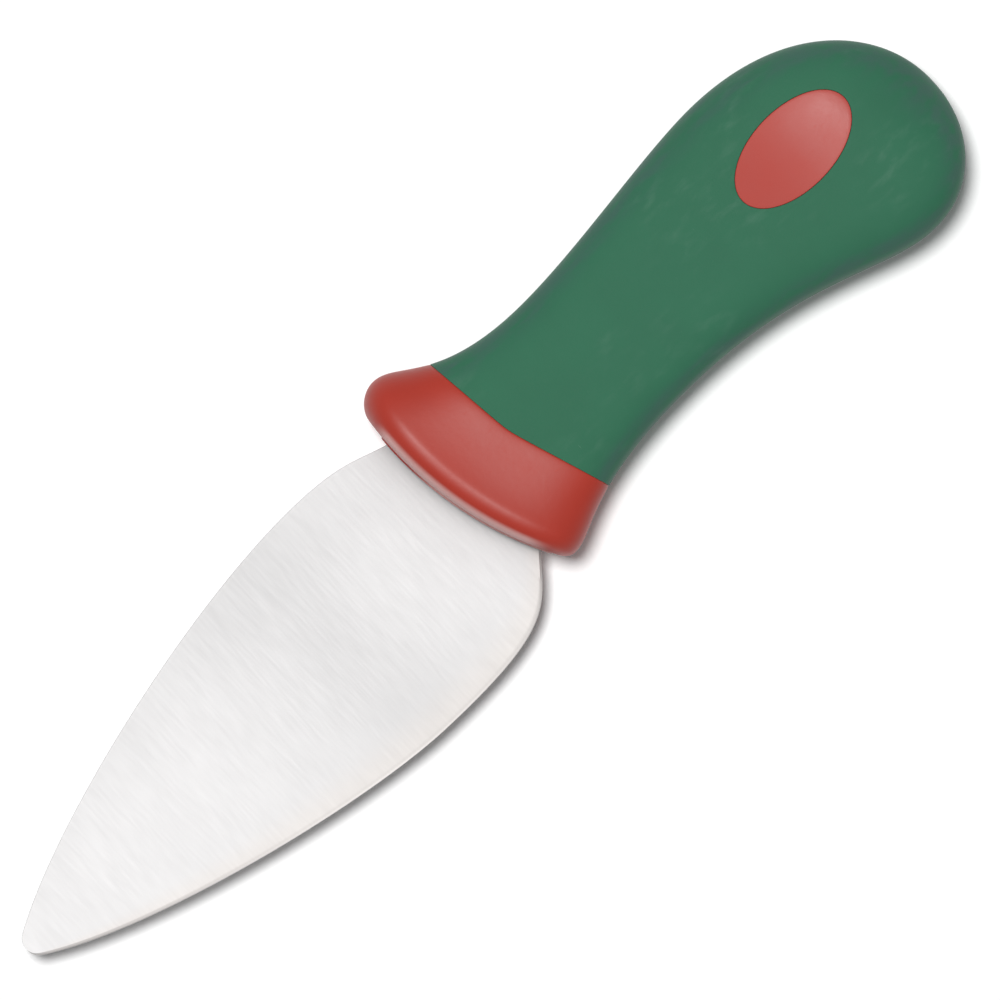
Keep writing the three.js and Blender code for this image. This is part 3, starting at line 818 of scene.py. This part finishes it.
class Finish(Nodes):
    """A material while its nodes are added. Its places are in millimetres from the datum."""

    def __init__(self, name):
        self.material = bpy.data.materials.new(name)
        self.material.use_nodes = True
        super().__init__(self.material.node_tree)
        self.shader = self.tree.nodes["Principled BSDF"]
        place = self.node("ShaderNodeTexCoord", output="Object")
        self.place = self.node("ShaderNodeVectorMath", {"operation": "MULTIPLY_ADD"},
                               {0: place, 1: Vector((1, 1, 1)) / MM, 2: -DATUM / MM})
        self.x, self.y, self.z = (
            self.node("ShaderNodeSeparateXYZ", {}, {0: self.place}, output=axis) for axis in "XYZ")

    def set(self, name, value):
        """Feeds one socket of the shader."""
        self.feed(self.shader.inputs[name], value)

    def noise(self, stretch, detail=2.0, shift=0.0):
        """Noise from 0 to 1 with so many waves to the millimetre along each axis."""
        stretched = self.node("ShaderNodeVectorMath", {"operation": "MULTIPLY_ADD"},
                              {0: self.place, 1: stretch, 2: (shift, shift, shift)})
        return self.node("ShaderNodeTexNoise", {}, {"Vector": stretched, "Scale": 1.0, "Detail": detail})

    def between(self, value, low, high):
        """0 below the low value, 1 above the high one, and smooth between."""
        return self.node("ShaderNodeMapRange", {"interpolation_type": "SMOOTHSTEP"},
                         {"Value": value, "From Min": low, "From Max": high})

    def ahead_of_face(self, handle):
        """Millimetres from the arc of the bolster's face towards the tip."""
        radius, apex = handle.face_radius / MM, handle.face_apex / MM
        rise = self.y - apex
        arc = self.y.math("SQRT", radius**2 - rise * rise)
        return self.x - arc + math.sqrt(radius**2 - apex**2)

    def mix(self, factor, one, other):
        """A colour between two."""
        return self.node("ShaderNodeMix", {"data_type": "RGBA"}, {0: factor, 6: one, 7: other}, output=2)

    def bump(self, height, depth):
        """A normal for a height from 0 to 1 over a depth in millimetres."""
        return self.node("ShaderNodeBump", {}, {"Height": height, "Distance": depth * MM, "Strength": 1.0})


def shaded(base, factor=1.0):
    """A colour made darker or paler, with full alpha."""
    return (*(min(1.0, part * factor) for part in base), 1.0)


def satin_steel(finishes, handle):
    """Stainless steel ground across its length: fine lines, a faint band, a warm edge, a painted glint on its
    bevel and spine, and painted shade at its root beside the bolster.
    """
    finish = Finish("satin_steel")
    lines = finish.noise((2.2, 0.17, 0.4), 4.0)
    hairs = finish.noise((8.0, 0.4, 1.0), 2.0, 31.0)
    smudge = finish.noise((0.09, 0.06, 0.1), 3.0, 17.0)
    patches = finish.between(finish.noise((0.05, 0.05, 0.1), 2.0, 53.0), 0.35, 0.65)
    polish_and_glint, across = (finish.node("ShaderNodeAttribute", {"attribute_name": name}, output="Fac")
                      for name in ("polish_and_glint", "across"))
    from_band = (finish.x + finish.y * 0.2 - 34.0) / 14.0
    band = 1.0 / (1.0 + from_band * from_band)
    towards_spine = finish.between(finish.y, 4.0, -12.0)
    # Painted shade: close to the bolster's face the steel is mixed towards black, where the bolster shades
    # the blade.
    from_root = finish.ahead_of_face(handle) / 1.5
    painted_root_shade = 0.4 / (1.0 + from_root * from_root)
    brushed = ((lines - 0.5) * 0.26 + (hairs - 0.5) * 0.2) * (patches * 0.6 + 0.3)
    tone = brushed + (smudge - 0.5) * 0.3
    # Painted glint: the bevel and spine are made paler, standing in for lamp light they catch; their lower
    # roughness below is a real smoother finish.
    tone = tone + 0.66 - band * 0.36 - towards_spine * 0.15 + polish_and_glint * 0.2
    base = finish.mix(tone, shaded(finishes.steel, 0.84), shaded(finishes.steel, 1.12))
    base = finish.mix(finish.between(across, 0.84, 1.0) * 0.5, base, shaded(finishes.warm_steel, 0.97))
    base = finish.mix(painted_root_shade, base, shaded(finishes.steel, 0.0))
    rough = finishes.steel_rough + (lines - 0.5) * 0.08 + (smudge - 0.5) * 0.06
    finish.set("Base Color", base)
    finish.set("Metallic", 1.0)
    finish.set("Roughness", rough - polish_and_glint * 0.2)
    finish.set("Normal", finish.bump(lines * 0.6 + hairs * 0.4, 0.007))
    return finish.material


class MouldedRed(Finish):
    """Hard moulded plastic: slight flow clouds, a fine ripple, and hairline scratches that dull its gloss."""

    def __init__(self, name, base, rough):
        super().__init__(name)
        clouds = self.noise((0.16, 0.11, 0.14), 3.0, 3.0)
        ripple = self.noise((0.8, 0.8, 0.8), 2.0, 9.0)
        grain = self.noise((5.0, 5.0, 5.0), 2.0, 21.0)
        scratch = self.between(self.noise((0.5, 4.2, 1.4), 3.0, 40.0), 0.66, 0.74)
        tone = self.mix(clouds, shaded(base, 0.94), shaded(base, 1.06))
        self.tone = self.mix(scratch * 0.1, tone, shaded(base, 1.5))
        self.gloss = rough + (clouds - 0.5) * 0.1 + (grain - 0.5) * 0.06 + scratch * 0.08
        self.set("Base Color", self.tone)
        self.set("Roughness", self.gloss)
        self.set("Specular IOR Level", 0.35)
        self.set("Normal", self.bump(ripple * 0.8 + grain * 0.2, 0.02))


def bolster_red(finishes, blade, handle):
    """Moulded red with a pale band painted on its front rim beside the blade, a painted reflection of the
    bright blade.
    """
    finish = MouldedRed("bolster_red", finishes.bolster, finishes.bolster_rough)
    # Painted reflection: a pale band on the front above the nose, across the blade's width, stands in for
    # light thrown up by the blade.
    front = finish.between(finish.ahead_of_face(handle), -1.7, -0.6)
    above_nose = finish.between(finish.z.math("ABSOLUTE", finish.z), 5.5, 9.5)
    spine_end = finish.between(finish.y, -blade.root_spine / MM - 4.0, -blade.root_spine / MM)
    edge_end = finish.between(finish.y, blade.root_edge / MM + 1.0, blade.root_edge / MM - 4.0)
    rim = front * above_nose * spine_end * edge_end
    finish.set("Base Color", finish.mix(rim, finish.tone, shaded(finishes.rim)))
    return finish.material


def core_red(finishes, handle):
    """Moulded red whose lip beside the blade is painted pale towards the edge, a painted reflection of the
    bright blade.
    """
    finish = MouldedRed("core_red", finishes.core, finishes.core_rough)
    # Painted reflection: the lip beside the blade is mixed towards the pale rim colour on the edge's side,
    # standing in for light from the blade.
    lip = finish.between(finish.ahead_of_face(handle), -0.3, 0.1)
    painted_lip_reflection = lip * finish.between(finish.y, -9.0, -1.0) * 0.7
    finish.set("Base Color", finish.mix(painted_lip_reflection, finish.tone, shaded(finishes.rim)))
    return finish.material


def badge_red(finishes):
    """Moulded red with a gloss that grows towards the butt, where the palm rubs it."""
    finish = MouldedRed("badge_red", finishes.badge, finishes.badge_rough)
    finish.set("Roughness", finish.gloss + (finish.between(finish.x, -99.0, -75.0) - 0.5) * 0.24)
    return finish.material


def soft_green(finishes):
    """Soft elastomer: a fine matt grain, cloudy tone, sides darkened partly as painted shade and partly by
    streaky grime, and pale scuffs where a hand rubs it.
    """
    finish = Finish("soft_green")
    clouds = finish.noise((0.13, 0.1, 0.12), 4.0, 2.0)
    grain = finish.noise((3.4, 3.4, 3.4), 3.0, 12.0)
    rubbed = finish.between(finish.noise((0.06, 0.07, 0.06), 2.0, 8.0), 0.45, 0.7)
    scuff = finish.between(finish.noise((0.22, 0.5, 0.5), 7.0, 27.0), 0.45, 0.8) * rubbed
    scratch = finish.between(finish.noise((2.2, 0.5, 1.1), 3.0, 44.0), 0.72, 0.78) * rubbed
    streaks = finish.noise((0.12, 0.5, 0.5), 6.0, 63.0)
    facing = finish.node("ShaderNodeTexCoord", output="Normal")
    upward = finish.node("ShaderNodeSeparateXYZ", {}, {0: facing}, output="Z")
    sides = finish.between(upward.math("ABSOLUTE", upward), 0.985, 0.76)
    tone = finish.mix(clouds * 0.7 + grain * 0.3, shaded(finishes.grip, 0.88), shaded(finishes.grip, 1.12))
    # Partly painted shade: sides turned away from above go towards a duller green, in streaks that also stand
    # for grime from hands.
    tone = finish.mix(sides * finish.between(streaks, 0.3, 0.65), tone, shaded(finishes.grime_and_side_shade))
    pale = finish.mix(scuff * 0.12 + scratch * 0.2, tone, shaded(finishes.dust))
    rough = finishes.grip_rough + (grain - 0.5) * 0.12 - scuff * 0.06
    finish.set("Base Color", pale)
    finish.set("Roughness", rough)
    finish.set("Sheen Weight", 0.05)
    finish.set("Sheen Roughness", 0.4)
    finish.set("Normal", finish.bump(grain, 0.03))
    return finish.material


def studio_floor(stage):
    """A pale floor that shows white to the camera and in gloss, and keeps the knife's shadow."""
    finish = Finish("studio_floor")
    rays = finish.seen_by("Camera", "Glossy", "Transmission")
    finish.set("Base Color", shaded(stage.floor))
    finish.set("Roughness", 0.9)
    finish.set("Specular IOR Level", 0.0)
    finish.set("Emission Color", sum(rays[1:], rays[0]) * stage.glow)
    finish.set("Emission Strength", 1.0)
    return finish.material


def make_floor(stage):
    """A broad floor just under the knife."""
    reach, drop = 3.0, 0.02 * MM
    mesh = bpy.data.meshes.new("floor")
    corners = [(-reach, -reach), (reach, -reach), (reach, reach), (-reach, reach)]
    mesh.from_pydata([(x, y, -drop) for x, y in corners], [], [(0, 1, 2, 3)])
    mesh.materials.append(studio_floor(stage))
    floor = bpy.data.objects.new("floor", mesh)
    bpy.context.scene.collection.objects.link(floor)


def make_lamp(stage):
    """A round lamp that gives the key's light on a level floor and fills its angle seen from the knife."""
    lamp = bpy.data.lights.new("key", "AREA")
    lamp.shape = "DISK"
    lamp.size = 2 * stage.key_distance * math.tan(stage.key_angle / 2)
    radiance = stage.key / (math.sin(stage.key_angle / 2) ** 2 * math.cos(stage.key_tilt))
    lamp.energy = radiance * math.pi**2 * (lamp.size / 2) ** 2
    holder = bpy.data.objects.new("key", lamp)
    holder.rotation_euler = Euler((stage.key_tilt, 0, 0))
    holder.location = holder.rotation_euler.to_matrix() @ Vector((0, 0, stage.key_distance))
    bpy.context.scene.collection.objects.link(holder)


def make_world(stage):
    """Even dim surroundings that show white to the camera and pale in gloss."""
    world = bpy.data.worlds.new("studio")
    world.use_nodes = True
    nodes = Nodes(world.node_tree)
    camera, glossy = nodes.seen_by("Camera", "Glossy")
    strength = camera * (1.0 - stage.world) + glossy * (stage.gloss - stage.world) + stage.world
    background = nodes.tree.nodes["Background"]
    nodes.feed(background.inputs["Color"], (1.0, 1.0, 1.0, 1.0))
    nodes.feed(background.inputs["Strength"], strength)
    bpy.context.scene.world = world


def make_camera():
    """A camera straight above the knife, turned so that the blade points to the lower left."""
    seen_width, turn, lens, sensor = 175 * MM, math.radians(137), 400.0, 36.0
    aim = DATUM + Vector((-6.6, 6.65, 0)) * MM
    data = bpy.data.cameras.new("camera")
    data.lens = lens
    data.sensor_width = sensor
    camera = bpy.data.objects.new("camera", data)
    camera.location = aim + Vector((0, 0, seen_width * lens / sensor))
    camera.rotation_euler = Euler((0, 0, turn))
    bpy.context.scene.collection.objects.link(camera)
    bpy.context.scene.camera = camera


class KNIFE_OT_stage(bpy.types.Operator):
    """Makes the floor, the lamp, the surroundings and the camera"""

    bl_idname = "knife.make_stage"
    bl_label = "Stage"

    def execute(self, context):
        stage = context.scene.knife_stage
        make_floor(stage)
        make_lamp(stage)
        make_world(stage)
        make_camera()
        context.scene.view_settings.view_transform = "Standard"
        return {"FINISHED"}


class KNIFE_OT_blade(bpy.types.Operator):
    """Makes the blade in place of its CAD node"""

    bl_idname = "knife.make_blade"
    bl_label = "Blade"

    def execute(self, context):
        scene = context.scene
        piece = make_blade(scene.knife_blade, scene.knife_handle)
        settle(piece, "blade", satin_steel(scene.knife_finishes, scene.knife_handle))
        return {"FINISHED"}


class KNIFE_OT_core(bpy.types.Operator):
    """Makes the hard core in place of its CAD node"""

    bl_idname = "knife.make_core"
    bl_label = "Core"

    def execute(self, context):
        scene = context.scene
        piece = make_core(scene.knife_blade, scene.knife_handle)
        badges = BadgeForm(scene.knife_badge, scene.knife_handle)
        for cheek in (1, -1):
            combine(piece, badges.seat_tool(cheek, scene.knife_handle.core_gap), "DIFFERENCE")
        settle(piece, "core", core_red(scene.knife_finishes, scene.knife_handle))
        return {"FINISHED"}


class KNIFE_OT_bolster(bpy.types.Operator):
    """Makes the bolster in place of its CAD node"""

    bl_idname = "knife.make_bolster"
    bl_label = "Bolster"

    def execute(self, context):
        scene = context.scene
        piece = make_bolster(scene.knife_handle)
        material = bolster_red(scene.knife_finishes, scene.knife_blade, scene.knife_handle)
        settle(piece, "bolster", material)
        return {"FINISHED"}


class KNIFE_OT_grip(bpy.types.Operator):
    """Makes the soft grip with its two windows in place of its CAD node"""

    bl_idname = "knife.make_grip"
    bl_label = "Grip"

    def execute(self, context):
        scene = context.scene
        piece = make_grip_sleeve(scene.knife_handle)
        badges = BadgeForm(scene.knife_badge, scene.knife_handle)
        for cheek in (1, -1):
            combine(piece, badges.window(cheek), "DIFFERENCE")
        settle(piece, "grip", soft_green(scene.knife_finishes))
        return {"FINISHED"}


class KNIFE_OT_badges(bpy.types.Operator):
    """Makes the two oval badges in place of their CAD nodes"""

    bl_idname = "knife.make_badges"
    bl_label = "Badges"

    def execute(self, context):
        scene = context.scene
        badges = BadgeForm(scene.knife_badge, scene.knife_handle)
        material = badge_red(scene.knife_finishes)
        for name, node, cheek in (("badge_upper", "badge_front", 1), ("badge_lower", "badge_back", -1)):
            settle(badges.inlay(name, cheek), node, material)
        return {"FINISHED"}


GROUPS = {
    "knife_blade": KnifeBladeSizes,
    "knife_handle": KnifeHandleSizes,
    "knife_badge": KnifeBadgeSizes,
    "knife_finishes": KnifeFinishes,
    "knife_stage": KnifeStage,
}
OPERATORS = (KNIFE_OT_blade, KNIFE_OT_core, KNIFE_OT_bolster, KNIFE_OT_grip, KNIFE_OT_badges, KNIFE_OT_stage)


class KNIFE_PT_panel(bpy.types.Panel):
    """Sizes, finishes and makers of the knife"""

    bl_idname = "KNIFE_PT_panel"
    bl_label = "Cheese Knife"
    bl_space_type = "VIEW_3D"
    bl_region_type = "UI"
    bl_category = "Knife"

    def draw(self, context):
        for operator in OPERATORS:
            self.layout.operator(operator.bl_idname)
        for name, group in GROUPS.items():
            box = self.layout.box()
            box.label(text=group.__doc__)
            for prop in group.__annotations__:
                box.prop(getattr(context.scene, name), prop)


def register():
    for group in GROUPS.values():
        bpy.utils.register_class(group)
    for name, group in GROUPS.items():
        setattr(bpy.types.Scene, name, bpy.props.PointerProperty(type=group))
    for kind in (*OPERATORS, KNIFE_PT_panel):
        bpy.utils.register_class(kind)


def unregister():
    for kind in (KNIFE_PT_panel, *reversed(OPERATORS)):
        bpy.utils.unregister_class(kind)
    for name in reversed(GROUPS):
        delattr(bpy.types.Scene, name)
    for group in reversed(GROUPS.values()):
        bpy.utils.unregister_class(group)


def main():
    """Builds the knife and its stage."""
    register()
    bpy.ops.knife.make_stage()
    bpy.ops.knife.make_blade()
    bpy.ops.knife.make_core()
    bpy.ops.knife.make_bolster()
    bpy.ops.knife.make_grip()
    bpy.ops.knife.make_badges()


if __name__ == "__main__":
    main()
